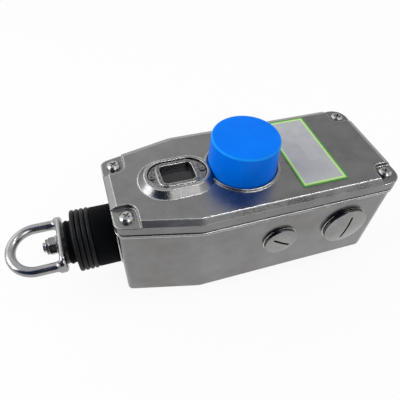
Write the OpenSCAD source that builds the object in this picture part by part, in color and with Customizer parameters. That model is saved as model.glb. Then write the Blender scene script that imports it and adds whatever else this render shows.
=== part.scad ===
// Rope pull switch: a cast stainless housing with a sprung shaft, an eye for the
// rope, a rubber gaiter, a blue reset button and a contact block worked by a cam.
// X runs along the shaft, with the rope at -X, and the base stands on Z = 0.

/* [Case] */
// Length of the lid and of the housing rim
case_l = 174; // [166:1:200]
// Width of the lid and of the housing rim
case_w = 75; // [70:0.2:90]
// Width of the case at the rope end
nose_w = 53.2; // [50:0.2:60]
// Length over which the case narrows to the rope end
nose_l = 46.2; // [30:0.2:60]
// Height of the housing base up to the parting line
case_h = 60; // [58:0.5:80]
// Plan radius of the two corners away from the rope
corner_r = 9; // [6:0.5:12]
// Plan radius of the two corners at the rope end
nose_r = 5.5; // [4:0.5:9]
// Plan radius where the sides start to narrow
bend_r = 16; // [8:1:30]
// Width of the flat rim under the lid
rim_w = 5.2; // [4.8:0.1:7]
// How far the side walls stand in from the lid at the top
wall_set_top = 0.8; // [0.5:0.1:1.2]
// How far the side walls stand in from the lid at the base
wall_set_base = 2; // [1.5:0.1:2.5]
// Height of the lip around the rim
lip_h = 2; // [1:0.2:4]
// Height of the groove between the lip and the lid
seam_h = 1.2; // [0.4:0.1:1.6]
// Depth of the groove between the lip and the lid
seam_in = 1.2; // [0.5:0.1:1.3]
// Thickness of the floor
floor_t = 4; // [3:0.5:6]
// Chamfer round the bottom edge
base_chamfer = 1; // [0.5:0.1:2]
// Radius of the screw pillars in the four corners
pillar_r = 6.2; // [5.8:0.1:7]

/* [Lid] */
// Height of the lid's upright edge
lid_edge_h = 7.2; // [6:0.2:10]
// Rise of the crown above the upright edge
crown_rise = 1.8; // [1:0.1:3]
// Width of the bevel between the edge and the crown
crown_bevel = 3.7; // [2:0.1:5]
// Thickness of the lid under the crown
lid_t = 4; // [3:0.5:5]
// Width of the gasket and of its groove
gasket_w = 2.2; // [1.6:0.1:2.4]
// Depth of the gasket's groove in the rim
gasket_groove = 2; // [1:0.1:3]
// Distance of the rope-end lid screws from the end of the lid
nose_screw_in = 7.5; // [7:0.1:9]
// Distance of the rope-end lid screws from the end's corner
nose_screw_side = 5.9; // [5:0.1:7]
// Distance of the other lid screws from the end of the lid
tail_screw_in = 8; // [7.8:0.1:10]
// Distance of the other lid screws from the side of the lid
tail_screw_side = 8.9; // [8:0.1:10]
// Wall of a screw pocket from the middle of its screw
pocket_reach = 6.3; // [5:0.1:7]
// Side wall of a rope-end screw pocket from the middle of its screw
pocket_side = 7.6; // [6:0.1:8]
// Radius of the inner corner of a screw pocket
pocket_r = 5.8; // [3:0.1:6]
// Depth of the screw pockets below the crown
pocket_depth = 2.6; // [1.8:0.1:3]

/* [Window] */
// Distance of the window's middle from the button's middle
window_off = 40.8; // [40.7:0.1:44]
// Length of the window boss over its straight rim
window_l = 39.2; // [37:0.2:40]
// Width of the window boss over its rim
window_w = 25.6; // [24:0.2:30]
// Height of the window boss above the crown
window_h = 3.8; // [3:0.1:5]
// Spread of the boss at its foot, on each side
window_flare = 3.6; // [2:0.1:4]
// Thickness of the boss's rim round the bezel
window_rim = 1.9; // [1.3:0.1:2.1]
// Length of the opening in the bezel
sight_l = 19.6; // [14:0.2:20]
// Width of the opening in the bezel
sight_w = 14.8; // [8:0.2:15.2]
// Corner radius of the opening in the bezel
sight_r = 3; // [1:0.1:4]
// Width of the raised frame round the opening
frame_w = 2.2; // [1.5:0.1:2.6]
// Height of the raised frame
frame_h = 0.8; // [0.4:0.1:1]
// Thickness of the bezel plate
bezel_t = 3.2; // [2:0.1:3.4]
// Depth of the bezel's top below the rim of the boss
bezel_set = 0.9; // [0.8:0.1:1.5]
// Width of the step round the edge of the bezel
bezel_step = 0.5; // [0.3:0.1:0.6]
// Thickness of the window glass
glass_t = 2; // [1.5:0.1:2.5]
// Thickness of the window gasket
window_gasket_t = 0.8; // [0.5:0.1:1]
// Distance of the bezel screws from the ends of the bezel
bezel_screw_in = 2.4; // [2.2:0.1:2.9]

/* [Rating plate] */
// Distance of the plate's near edge from the button's middle
plate_off = 27.6; // [26:0.2:32]
// Length of the plate along the case
plate_l = 30.2; // [20:0.2:34]
// Width of the plate across the case
plate_w = 61.4; // [50:0.2:63]
// Sideways shift of the plate
plate_shift = 2.4; // [-3:0.1:3]
// Thickness of the plate
plate_t = 0.3; // [0.2:0.1:0.5]

/* [Reset button] */
// Distance of the button's middle from the middle of the case
button_off = 4.6; // [4:0.1:6]
// Radius of the blue cap at its foot
button_r = 21.2; // [19:0.1:21.3]
// How much narrower the cap is at its top
cap_draft = 1; // [0:0.1:1.5]
// Height of the cap's top above the crown
button_h = 21.7; // [16:0.2:26]
// Depth of the cap's skirt below the crown
button_sink = 0.8; // [0.5:0.1:1]
// Wall thickness of the cap
button_wall = 2.2; // [1.5:0.1:3]
// Travel of the button
button_travel = 4.5; // [3:0.1:4.6]
// Gap round the cap in its well
well_gap = 0.4; // [0.3:0.1:0.6]
// Width of the raised ring round the well
ring_w = 1.2; // [1:0.1:2]
// Height of the raised ring above the crown
ring_h = 1.2; // [0.8:0.1:2]
// Depth of the well below the crown
well_depth = 6.8; // [6.4:0.1:7.5]
// Thickness of the well's floor
well_floor = 2.5; // [2:0.1:3]
// Radius of the reset stem
stem_r = 4; // [3:0.1:4.5]

/* [Rope end] */
// Height of the shaft's axis above the base
shaft_z = 30.6; // [29:0.1:32]
// Radius of the tension shaft
shaft_r = 5; // [4:0.1:5.4]
// Radius of the shaft's threaded end
thread_r = 3; // [2.5:0.1:3.5]
// Length of the gaiter's plain tube
tube_l = 13.2; // [10:0.2:16]
// Outer radius of the gaiter's plain tube
tube_r = 18.7; // [17.6:0.1:19.5]
// Number of ribs on the gaiter
rib_n = 4; // [3:1:6]
// Spacing of the ribs
rib_pitch = 2.9; // [2.4:0.05:3.2]
// Radius of the ribs at their crests
rib_r = 19.2; // [18:0.1:20]
// Depth of the grooves between the ribs
rib_depth = 1.9; // [1:0.1:2.5]
// Wall thickness of the gaiter
gaiter_wall = 2.2; // [1.5:0.1:2.4]
// Length of the gaiter's neck
neck_l = 4.4; // [3:0.2:7]
// Outer radius of the gaiter's neck
neck_r = 13; // [10:0.1:14]
// Radius of the washer behind the eye
gaiter_washer_r = 12.8; // [9:0.1:14]
// Thickness of the washer behind the eye
gaiter_washer_t = 1.5; // [1:0.1:2]
// Thickness of the eye's plate
eye_plate_t = 3.8; // [3:0.1:5]
// Half the width of the eye's plate
eye_plate_r = 7; // [6:0.1:9]
// Distance of each leg of the eye from the axis
eye_leg = 14.9; // [13:0.1:17]
// Radius of the eye's rod
eye_rod_r = 3.1; // [2.4:0.1:3.6]
// Distance from the eye's plate to the middle of its bend
eye_reach = 13.2; // [12:0.2:24]
// How far the plate stands out past the legs' middle lines
eye_plate_over = 4; // [2:0.1:5]
// Tilt of the eye about the shaft
eye_tilt = -7; // [-30:1:30]
// Radius of the fillet between the eye's legs and its plate
eye_fillet = 3; // [1:0.1:4]
// Width across the flats of the eye nut
nut_flats = 10; // [8:0.5:12]
// Height of the eye nut
nut_h = 6; // [5:0.1:7]

/* [Conduit entries] */
// Height of both entries above the base
entry_z = 34; // [31:0.1:36]
// Distance of the large entry from the middle of the case
large_entry_x = 56.5; // [50:0.1:60]
// Distance of the small entry from the middle of the case
small_entry_x = 10.7; // [4:0.1:16]
// Radius of the large entry's thread
large_entry_r = 12.5; // [10:0.5:13]
// Radius of the small entry's thread
small_entry_r = 8; // [6:0.5:10]
// Radius of the large plug's head
large_plug_r = 14.7; // [14:0.1:17]
// Radius of the small plug's head
small_plug_r = 10.7; // [10.2:0.1:12.5]
// Height of the large plug's head
large_plug_h = 1.8; // [1.4:0.1:3]
// Height of the small plug's head
small_plug_h = 1.4; // [1.2:0.1:3]
// Thickness of the plugs' sealing washers
plug_washer_t = 0.8; // [0.5:0.1:1.5]
// Length of thread in an entry
entry_l = 8.5; // [7:0.5:9]
// Radius of the domed faces of the plugs
plug_dome_r = 70; // [40:5:120]
// Width of the plugs' coin slots
slot_w = 1.5; // [1:0.1:2.5]
// Length of a plug's coin slot as a share of its head
slot_share = 0.68; // [0.5:0.01:0.8]
// Depth of the plugs' coin slots in their middle
slot_depth = 2; // [1:0.1:2.2]
// Angle of the large plug's coin slot from level
large_slot_a = 83; // [0:1:180]
// Angle of the small plug's coin slot from level
small_slot_a = 145; // [0:1:180]

/* [Mechanism] */
// Travel of the rope
rope_travel = 12; // [8:0.5:12]
// Radius of the nose bush's thread through the end wall
nose_thread_r = 10; // [8:0.5:10]
// Length of the nose bush behind its seat
nose_bush_l = 10; // [9:0.5:11]
// Thickness of the chassis plate
chassis_t = 2; // [1.5:0.1:2.5]
// Half the width of the chassis
chassis_half = 17.5; // [17:0.1:17.5]
// Half the width of the chassis's upright tabs
tab_half = 13; // [12:0.1:13.5]
// Height of the chassis above the floor
chassis_lift = 2; // [1.5:0.5:3]
// Wire diameter of the tension spring
spring_wire = 2.5; // [1.5:0.1:3]
// Mean radius of the tension spring
spring_r = 9.2; // [7.5:0.1:9.5]
// Turns of the tension spring
spring_turns = 8; // [6:1:9]
// Length of the tension spring with the rope slack
spring_l = 46; // [44:0.5:46]
// Radius of the spring collar
collar_r = 12; // [11.5:0.1:12.5]
// Thickness of the spring collar
collar_t = 7; // [6:0.5:8]
// Slope of the cam's ramps, rise over run
cam_slope = 0.25; // [0.15:0.01:0.25]
// Half the width of the cam slider
cam_half = 8; // [7:0.1:9]
// Height of the cam's low face above the shaft's axis
cam_low = 5.4; // [5.4:0.1:6]
// Radius of the carrier's feet
foot_r = 1.8; // [1.4:0.1:2]
// Distance between the poles of the switch block
pole_pitch = 11; // [10:0.1:11]
// Number of poles of the switch block
pole_n = 4; // [4:1:4]
// Half the width of the switch block
block_half = 15.2; // [14.8:0.1:15.2]
// Height of the switch block
block_h = 17; // [16.5:0.5:18]
// Height of the block's underside above the cam's peaks
block_gap = 0.8; // [0.5:0.1:1.2]
// Half the distance between the two rows of terminals
terminal_y = 13; // [12.6:0.1:13]
// Half the width of the indicator flag
flag_half = 9; // [7:0.5:10]
// Depth of the flag below the lid's underside
flag_drop = 9.2; // [8:0.1:10]
// Radius of the latch lever's roller end
latch_pad_r = 5; // [4:0.1:5]

/* [Base fixings] */
// Distance between the fixing holes along the case
fix_x = 95; // [80:1:100]
// Distance between the fixing holes across the case
fix_y = 46; // [46:0.5:48]
// Radius of the fixing holes
fix_r = 2.5; // [2:0.1:3]
// Depth of the fixing holes
fix_depth = 9; // [6:0.5:10]

/* [Hidden] */
$fn = 64;
fit = 0.05;    // running clearance on a radius
gap = 0.3;     // clearance between pieces that move apart
eps = 0.01;
long = 400;    // more than any cut needs

// heights
edge_z = case_h + lid_edge_h;
crown_z = edge_z + crown_rise;
lid_under = crown_z - lid_t;
pocket_z = crown_z - pocket_depth;
chassis_z = floor_t + chassis_lift;
deck_z = chassis_z + chassis_t;

// stations along X
nose_x = -case_l/2;
tail_x = case_l/2;
button_x = -button_off;
window_x = button_x - window_off;
seat_x = nose_x + 0.6;                       // machined seat of the gaiter
tube_end = seat_x - tube_l;
rib_end = tube_end - rib_n*rib_pitch;
neck_end = rib_end - neck_l;                 // shoulder of the shaft
eye_back = neck_end - gaiter_washer_t - fit;
eye_front = eye_back - eye_plate_t;
nut_back = eye_front - 1 - fit;              // after a washer of 1
nut_front = nut_back - nut_h;
shaft_tip = nut_front - 1.8;
flag_t = 1.2;
flag_x = button_x - latch_pad_r - flag_t - 3.5;
collar_x = flag_x - fit - collar_t;
spring_x = collar_x - fit - spring_l;
front_tab_x = spring_x - fit - chassis_t;
rear_tab_x = button_x + 7.6;
cam_x = rear_tab_x + chassis_t + rope_travel + 3;
block_x = cam_x + 1.6;
pole_x = block_x + 6.5;
block_end = block_x + 2*6.5 + (pole_n - 1)*pole_pitch;
cheek_x = rear_tab_x + 3;
cheek_end = block_end + 5;

// the cam lifts the carrier's feet, and the block and the latch stand above it
cam_top = shaft_z + cam_low;
ramp_l = rope_travel + 4.5;
lift = cam_slope*rope_travel;
block_z = cam_top + cam_slope*ramp_l + block_gap;
block_top = block_z + block_h;
cheek_top = block_z + 8.5;
rail_z = block_z + 1.5;                      // underside of the carrier's rail
latch_x = button_x + 19.1;
latch_z = rail_z;
pad_z = latch_z + 3.8;
stem_z = pad_z + latch_pad_r + 0.2;

// the case in plan, set in by d from the lid's edge
nose_slope = atan((case_w - nose_w)/2/nose_l);
function outline(d) = let (
    yn = nose_w/2 + d*tan(nose_slope) - d/cos(nose_slope),
    xb = nose_x + nose_l + d*tan(nose_slope/2),
    yw = case_w/2 - d)
  [[nose_x + d, yn], [nose_x + d, -yn], [xb, -yw], [tail_x - d, -yw], [tail_x - d, yw], [xb, yw]];
function corner_radii(d) = [for (r = [nose_r, nose_r, bend_r, corner_r, corner_r, bend_r]) max(r - d, 1)];

function unit(v) = v/norm(v);
// The points of a polygon with rounded corners, which turns anticlockwise.
function rounded(pts, radii, steps = 8) = [
  for (i = [0:len(pts) - 1]) let (
    p = pts[i],
    a = unit(pts[(i + len(pts) - 1) % len(pts)] - p),
    b = unit(pts[(i + 1) % len(pts)] - p),
    half = acos(a*b)/2,
    middle = p + unit(a + b)*radii[i]/sin(half),
    from = atan2(-b[1] - a[1], -b[0] - a[0]) - (90 - half))
  for (k = [0:radii[i] > 0 ? steps : 0])
    middle + radii[i]*[cos(from + k*(180 - 2*half)/steps), sin(from + k*(180 - 2*half)/steps)]
];
module case_plan(d) polygon(rounded(outline(d), corner_radii(d)));
module rounded_box(l, w, r, h)
  linear_extrude(h) polygon(rounded([[-l/2, -w/2], [l/2, -w/2], [l/2, w/2], [-l/2, w/2]], [r, r, r, r]));

screw_places = [
  for (s = [-1, 1]) [nose_x + nose_screw_in, s*(nose_w/2 - nose_screw_side), s],
  for (s = [-1, 1]) [tail_x - tail_screw_in, s*(case_w/2 - tail_screw_side), s]
];
lid_screw_r = 2;
lid_screw_head_r = 4;

// the space inside the case in plan, which leaves the screw pillars standing
module inside_plan(grow) difference() {
  case_plan(rim_w - grow);
  for (p = screw_places) translate([p[0], p[1]]) circle(pillar_r - grow);
  for (p = screw_places) let (end = p[0] < 0 ? -1 : 1)
    translate([p[0] + end*pillar_r, p[1] + p[2]*pillar_r]) square(2*(pillar_r - grow), center = true);
}

module along_x(x) translate([x, 0, shaft_z]) rotate([0, 90, 0]) children();
module ring(outer, inner, h) difference() {
  cylinder(r = outer, h = h);
  translate([0, 0, -eps]) cylinder(r = inner, h = h + 2*eps);
}
module hexagon(flats, h) cylinder(r = flats/2/cos(30), h = h, $fn = 6);

// A round wire swept along points; axis is never along the wire.
module wire(path, r, axis = [0, 0, 1], sides = 8) {
  n = len(path);
  function along(i) = unit(path[min(i + 1, n - 1)] - path[max(i - 1, 0)]);
  function across(i) = unit(cross(along(i), axis));
  points = [for (i = [0:n - 1], k = [0:sides - 1])
    path[i] + r*(cos(360*k/sides)*across(i) + sin(360*k/sides)*cross(across(i), along(i)))];
  faces = concat(
    [[for (k = [0:sides - 1]) k]],
    [for (i = [0:n - 2], k = [0:sides - 1]) let (m = (k + 1) % sides)
      [i*sides + k, (i + 1)*sides + k, (i + 1)*sides + m, i*sides + m]],
    [[for (k = [sides - 1:-1:0]) (n - 1)*sides + k]]);
  polyhedron(points, faces);
}
// A compression spring's middle line: its end turns are closed, the others open.
function coil(r, l, turns, thick, steps = 14) = let (closed = thick*1.15)
  [for (i = [0:turns*steps]) let (
    t = i/steps,
    z = t < 1 ? closed*t
      : t > turns - 1 ? l - thick - closed*(turns - t)
      : closed + (l - thick - 2*closed)*(t - 1)/(turns - 2))
    [r*cos(360*t), r*sin(360*t), thick/2 + z]];

// A machine screw that points down, with the underside of its head at Z = 0.
module screw(r, head_r, head_h, l) {
  difference() {
    union() {
      cylinder(r = head_r, h = head_h*0.6);
      translate([0, 0, head_h*0.6]) cylinder(r1 = head_r, r2 = head_r*0.72, h = head_h*0.4);
      translate([0, 0, -l]) cylinder(r = r, h = l + eps);
    }
    for (a = [45, 135]) rotate(a)
      translate([-head_r*0.55, -head_r*0.12, head_h*0.4]) cube([head_r*1.1, head_r*0.24, head_h]);
  }
}

// ---- case ----

entries = [
  [large_entry_x, large_entry_r, large_plug_r, large_plug_h, large_slot_a],
  [small_entry_x, small_entry_r, small_plug_r, small_plug_h, small_slot_a]
];
entry_face = -case_w/2 + wall_set_top + 0.1;   // machined face of the entries
fix_boss_r = fix_r + 2.5;
chassis_screw_r = 2;
chassis_places = [for (x = [front_tab_x + 10, cheek_end - 9], y = [-11, 11]) [x, y]];
earth_place = [button_x + 35, (chassis_half + case_w/2 - rim_w)/2];
earth_boss_h = 4;

module housing_base() color("silver") difference() {
  union() {
    difference() {
      union() {
        hull() {
          linear_extrude(eps) case_plan(wall_set_base + base_chamfer);
          translate([0, 0, base_chamfer]) linear_extrude(eps) case_plan(wall_set_base);
          translate([0, 0, case_h - lip_h]) linear_extrude(eps) case_plan(wall_set_top);
        }
        translate([0, 0, case_h - lip_h]) linear_extrude(lip_h) case_plan(0);
        along_x(seat_x) cylinder(r = tube_r + 1, h = 3);
        for (e = entries) translate([e[0], entry_face, entry_z]) rotate([-90, 0, 0]) cylinder(r = e[2], h = 3);
      }
      translate([0, 0, floor_t]) linear_extrude(case_h) inside_plan(0);
    }
    for (e = entries) translate([e[0], entry_face + 2, entry_z]) rotate([-90, 0, 0])
      cylinder(r = e[1] + 2.5, h = entry_l - 2);
    for (x = [-1, 1], y = [-1, 1]) translate([x*fix_x/2, y*fix_y/2, floor_t - 1])
      cylinder(r = fix_boss_r, h = fix_depth - 1);
    for (p = chassis_places) translate([p[0], p[1], floor_t - 1]) cylinder(r = 4.5, h = chassis_lift + 1);
    translate([earth_place[0], earth_place[1], floor_t - 1]) cylinder(r = 4.5, h = earth_boss_h + 1);
  }
  translate([0, 0, case_h - gasket_groove]) linear_extrude(case_h) difference() {
    inside_plan(0.9 + gasket_w);
    inside_plan(0.9);
  }
  for (p = screw_places) translate([p[0], p[1], case_h - 14]) cylinder(r = lid_screw_r + fit, h = long);
  along_x(seat_x - eps) cylinder(r = nose_thread_r + fit, h = rim_w + 3);
  for (e = entries) translate([e[0], entry_face - eps, entry_z]) rotate([-90, 0, 0])
    cylinder(r = e[1] + fit, h = entry_l + 1);
  for (x = [-1, 1], y = [-1, 1]) translate([x*fix_x/2, y*fix_y/2, -eps]) cylinder(r = fix_r, h = fix_depth);
  for (p = chassis_places) translate([p[0], p[1], 1]) cylinder(r = chassis_screw_r + fit, h = floor_t + chassis_lift);
  translate([earth_place[0], earth_place[1], 1]) cylinder(r = 2 + fit, h = floor_t + earth_boss_h);
}

module lid_gasket() color("dimgray")
  translate([0, 0, case_h - gasket_groove + fit]) linear_extrude(gasket_groove - fit) difference() {
    inside_plan(0.9 + gasket_w - fit);
    inside_plan(0.9 + fit);
  }

// the stadium of the window boss, set in by d
module window_plan(d) polygon(rounded(
  [for (p = [[-1, -1], [1, -1], [1, 1], [-1, 1]]) [p[0]*(window_l/2 - d), p[1]*(window_w/2 - d)]],
  [for (i = [0:3]) window_w/2 - d - eps], 16));
bezel_gap = 0.1;
bezel_top = crown_z + window_h - bezel_set;
bezel_z = bezel_top - bezel_t;
glass_z = bezel_z - glass_t;
gasket_z = glass_z - window_gasket_t;
glass_l = sight_l + 5;
glass_w = sight_w + 5;
bezel_screw_r = 1.25;
bezel_screw_x = window_l/2 - window_rim - bezel_gap - bezel_screw_in;
bezel_bite = 2.2;              // how far the bezel screws reach into the lid

well_r = button_r + well_gap;
well_z = crown_z - well_depth;
post_r = 9;
post_z = crown_z - 3;
bush_r = 6;
spring_seat = well_z + fit;

module lid() color("darkgray") difference() {
  union() {
    difference() {
      union() {
        hull() {
          translate([0, 0, case_h + seam_h]) linear_extrude(lid_edge_h - seam_h) case_plan(0);
          translate([0, 0, crown_z - eps]) linear_extrude(eps) case_plan(crown_bevel);
        }
        translate([0, 0, case_h]) linear_extrude(seam_h + eps) case_plan(seam_in);
      }
      translate([0, 0, case_h - eps]) linear_extrude(lid_under - case_h) inside_plan(0);
    }
    translate([window_x, 0, crown_z]) hull() {
      linear_extrude(eps) window_plan(-window_flare);
      translate([0, 0, window_h - eps]) linear_extrude(eps) window_plan(0);
    }
    translate([window_x, 0, gasket_z - 1.5]) rounded_box(glass_l + 5, glass_w + 5, sight_r, 4);
    translate([button_x, 0, crown_z - 1]) cylinder(r = well_r + ring_w, h = 1 + ring_h);
    translate([button_x, 0, well_z - well_floor]) cylinder(r = well_r + ring_w, h = well_depth);
  }
  difference() {
    translate([button_x, 0, well_z]) cylinder(r = well_r, h = long);
    translate([button_x, 0, 0]) cylinder(r = post_r, h = post_z);
  }
  translate([button_x, 0, 0]) cylinder(r = bush_r + fit, h = long);
  translate([window_x, 0, bezel_z]) linear_extrude(long) window_plan(window_rim);
  translate([window_x, 0, gasket_z]) rounded_box(glass_l + 2*bezel_gap, glass_w + 2*bezel_gap, sight_r, long);
  translate([window_x, 0, 0]) rounded_box(sight_l, sight_w, sight_r, long);
  for (s = [-1, 1]) translate([window_x + s*bezel_screw_x, 0, bezel_z - bezel_bite - 0.2])
    cylinder(r = bezel_screw_r + fit, h = long);
  for (p = screw_places) {
    side = p[0] < 0 ? pocket_side : pocket_reach;
    translate([p[0], p[1], 0]) cylinder(r = lid_screw_r + 0.15, h = long);
    translate([p[0], p[1], pocket_z]) mirror([p[0] > 0 ? 1 : 0, 0]) mirror([0, p[2] > 0 ? 1 : 0])
      linear_extrude(long) polygon(rounded(
        [[-long, -long], [pocket_reach, -long], [pocket_reach, side], [-long, side]], [0, 0, pocket_r, 0]));
  }
}

module lid_screws() color("gainsboro")
  for (p = screw_places) translate([p[0], p[1], pocket_z]) screw(lid_screw_r, lid_screw_head_r, 2.6, 16);

module window_bezel() color("gray") translate([window_x, 0, bezel_z]) difference() {
  union() {
    linear_extrude(bezel_t - bezel_step) window_plan(window_rim + bezel_gap);
    linear_extrude(bezel_t) window_plan(window_rim + bezel_gap + bezel_step);
    rounded_box(sight_l + 2*frame_w, sight_w + 2*frame_w, sight_r + frame_w, bezel_t + frame_h);
  }
  translate([0, 0, -eps]) rounded_box(sight_l, sight_w, sight_r, long);
  for (s = [-1, 1]) translate([s*bezel_screw_x, 0, -eps]) cylinder(r = bezel_screw_r + 0.1, h = long);
}
module window_glass() color("black") translate([window_x, 0, glass_z])
  rounded_box(glass_l, glass_w, sight_r, glass_t);
module window_gasket() color("dimgray") translate([window_x, 0, gasket_z]) difference() {
  rounded_box(glass_l, glass_w, sight_r, window_gasket_t);
  translate([0, 0, -eps]) rounded_box(sight_l, sight_w, sight_r, long);
}
module bezel_screws() color("dimgray")
  for (s = [-1, 1]) translate([window_x + s*bezel_screw_x, 0, bezel_top]) difference() {
    union() {
      cylinder(r = 1.7, h = 0.7);
      translate([0, 0, -bezel_t - bezel_bite]) cylinder(r = bezel_screw_r, h = bezel_t + bezel_bite + eps);
    }
    translate([0, 0, 0.2]) hexagon(1.5, 1);
  }

module rating_plate() color("palegreen")
  translate([button_x + plate_off + plate_l/2, plate_shift, crown_z]) rounded_box(plate_l, plate_w, 1.5, plate_t);

// ---- reset button ----

cap_z = crown_z - button_sink;
cap_top = crown_z + button_h;
socket_r = stem_r + 3;
top_r = button_r - cap_draft;
cap_edge = 1.2;                 // rounding of the cap's rim
stem_top = cap_top - button_wall - 3;
post_bush_flange = 1.2;
bush_z = well_z - well_floor - 1.2;
clip_z = bush_z - 1.2;

module reset_button() color("dodgerblue") translate([button_x, 0, 0]) difference() {
  union() {
    difference() {
      translate([0, 0, cap_z]) rotate_extrude($fn = 96) polygon(concat(
        [[0, 0], [button_r, 0]],
        [for (a = [0:15:90]) [top_r - cap_edge + cap_edge*cos(a), cap_top - cap_z - cap_edge + cap_edge*sin(a)]],
        [[0, cap_top - cap_z]]));
      translate([0, 0, cap_z - eps]) cylinder(r = top_r - button_wall, h = cap_top - cap_z - button_wall);
    }
    translate([0, 0, stem_top - 11]) cylinder(r = socket_r, h = cap_top - stem_top + 10);
  }
  translate([0, 0, stem_top - 12]) cylinder(r = stem_r + fit, h = 12 + fit);
}
module reset_stem() color("silver") translate([button_x, 0, 0]) difference() {
  translate([0, 0, stem_z]) cylinder(r = stem_r, h = stem_top - stem_z);
  translate([0, 0, clip_z - fit]) ring(stem_r + 1, stem_r - 0.8, 1 + 2*fit);
}
module reset_clip() color("dimgray") translate([button_x, 0, clip_z]) difference() {
  cylinder(r = stem_r + 2.2, h = 1);
  translate([0, 0, -eps]) cylinder(r = stem_r - 0.8 + fit, h = 2);
  translate([0, -stem_r + 1, -eps]) cube([stem_r + 4, 2*stem_r - 2, 2]);
}
module reset_bush() color("goldenrod") translate([button_x, 0, 0]) difference() {
  union() {
    translate([0, 0, bush_z]) cylinder(r = bush_r, h = post_z - bush_z + eps);
    translate([0, 0, post_z]) cylinder(r = post_r, h = post_bush_flange);
  }
  translate([0, 0, bush_z - eps]) cylinder(r = stem_r + fit, h = long);
  translate([0, 0, bush_z + 3]) cylinder(r = stem_r + 1.3, h = 2);
}
module reset_o_ring() color("black") translate([button_x, 0, bush_z + 4])
  rotate_extrude() translate([stem_r + fit + 0.6, 0]) circle(0.58, $fn = 24);
module reset_spring() color("lightgray") translate([button_x, 0, spring_seat])
  wire(coil(12, cap_top - button_wall - spring_seat - fit, 5, 1.4), 0.7);

// ---- rope end ----

spigot_r = tube_r - gaiter_wall - fit;
bead_x = seat_x - 3;
module nose_bush() color("silver") difference() {
  union() {
    along_x(tube_end + 1) cylinder(r = spigot_r, h = seat_x - tube_end - 1);
    along_x(seat_x - eps) cylinder(r = nose_thread_r, h = nose_bush_l);
  }
  along_x(tube_end) cylinder(r = shaft_r + fit, h = long);
  along_x(bead_x - 1) ring(spigot_r + 1, spigot_r - 1.2, 2);
  along_x(tube_end + 1 - eps) cylinder(r = shaft_r + 3, h = 3);
}
module nose_nut() color("gray") along_x(nose_x + rim_w + fit) difference() {
  ring(12.6, nose_thread_r + fit, 4);
  for (a = [0:60:300]) rotate(a) translate([11.4, -1.5, -eps]) cube([3, 3, 5]);
}
module shaft_seal() color("black") along_x(tube_end + 1) difference() {
  cylinder(r = shaft_r + 3 - fit, h = 3 - fit);
  translate([0, 0, -eps]) cylinder(r = shaft_r + 0.1, h = 4);
  translate([0, 0, -eps]) ring(shaft_r + 2.2, shaft_r + 1, 1.2);
}

// half a rib, from the groove at a = 0 over the crest at a = 90
function rib_rise(a) = rib_depth*pow(sin(a), 0.6);
rib_path = [for (i = [0:rib_n - 1], a = [0:15:165])
  [tube_end - (i + a/180)*rib_pitch, rib_r - rib_depth + rib_rise(a)]];
module gaiter() color([0.1, 0.1, 0.11]) translate([0, 0, shaft_z]) rotate([0, 90, 0]) rotate_extrude($fn = 96)
  polygon(concat(
    [for (p = rib_path) [p[1], p[0]]],
    [[rib_r - rib_depth, rib_end], [rib_r - rib_depth - 1.6, rib_end - 0.4], [neck_r, rib_end - 0.6],
     [neck_r, neck_end + 1.8], [neck_r + 0.5, neck_end + 1], [neck_r, neck_end + fit],
     [shaft_r + gap, neck_end + fit], [shaft_r + gap, rib_end + gaiter_wall - 0.6],
     [rib_r - rib_depth - gaiter_wall, rib_end + gaiter_wall - 0.6],
     [rib_r - rib_depth - gaiter_wall, tube_end + 0.7], [spigot_r + fit, tube_end + 0.7],
     [spigot_r + fit, bead_x - 0.9], [spigot_r - 1.1, bead_x - 0.7], [spigot_r - 1.1, bead_x + 0.7],
     [spigot_r + fit, bead_x + 0.9], [spigot_r + fit, seat_x], [tube_r, seat_x], [tube_r, tube_end]]));

module gaiter_washer() color("gray")
  along_x(neck_end - gaiter_washer_t) ring(gaiter_washer_r, thread_r + fit, gaiter_washer_t - fit);

shaft_end = cam_x + 15;
module tension_shaft() color("silver") difference() {
  union() {
    along_x(shaft_tip) cylinder(r = thread_r, h = shaft_end - shaft_tip);
    along_x(neck_end) cylinder(r = shaft_r, h = shaft_end - neck_end);
  }
  translate([collar_x + collar_t/2, 0, 0]) cylinder(r = 1.5 + fit, h = long);
  translate([cam_x + 7, 0, 0]) cylinder(r = 1.5 + fit, h = long);
  along_x(flag_x + flag_t + fit) ring(shaft_r + 1, shaft_r - 1, 1 + 2*fit);
}

bend_x = eye_front - eye_reach;
eye_end = eye_leg + eye_plate_over - eye_plate_r;    // middle of the plate's round end
module eye_plan() {
  for (s = [-1, 1]) translate([0, s*eye_end]) circle(eye_plate_r);
  square([2*eye_plate_r, 2*eye_end], center = true);
}
// the plate's half section, with a fully round edge
module eye_section() {
  square([eye_plate_r - eye_plate_t/2, eye_plate_t]);
  translate([eye_plate_r - eye_plate_t/2, eye_plate_t/2]) circle(eye_plate_t/2);
}
module eye_plate() {
  for (s = [-1, 1]) translate([0, s*eye_end, 0]) rotate_extrude() eye_section();
  translate([0, eye_end, 0]) rotate([90, 0, 0]) linear_extrude(2*eye_end) {
    eye_section();
    mirror([1, 0]) eye_section();
  }
}
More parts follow.
